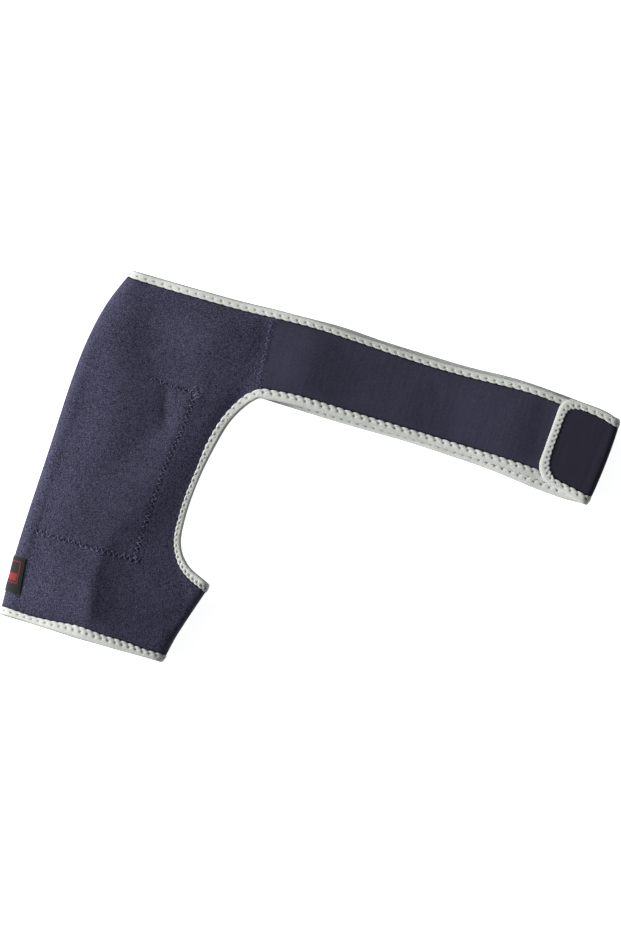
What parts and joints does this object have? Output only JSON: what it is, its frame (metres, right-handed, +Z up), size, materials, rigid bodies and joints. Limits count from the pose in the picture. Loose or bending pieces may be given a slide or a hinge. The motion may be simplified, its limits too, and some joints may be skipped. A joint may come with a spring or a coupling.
{
  "type": "shoulder wrap",
  "caption": "Padded shoulder wrap: an open arm sleeve and shoulder panel with a chest strap that closes on itself with a folded tab, all edges bound with tape.",
  "frame": {"origin": "bottom centre of the box round the whole wrap, on the surface that it lies on", "axes": "+X from the outer arm along the strap to its folded end, +Y from the sleeve's hem to the neck edge, +Z up from the surface, through the back and front sheets"},
  "size_m": [0.5434, 0.3734, 0.0388],
  "materials": {
    "body_jersey": "navy knitted jersey on foam, matt and grainy",
    "front_strap_loop": "navy brushed loop fabric on foam, matt",
    "back_strap_loop": "navy brushed loop fabric on foam, matt",
    "hook_fastener": "black hook tape",
    "edge_tape": "pale grey knitted tape, matt",
    "hem_tape": "pale grey knitted tape, matt",
    "label_weave": "black woven label with a plain red border"
  },
  "bodies": {
    "root": {"body_panel": "body_jersey", "front_strap": "front_strap_loop", "back_strap": "back_strap_loop", "hook_patch": "hook_fastener", "edge_binding": "edge_tape", "hem_binding": "hem_tape", "label": "label_weave"}
  },
  "joints": []
}
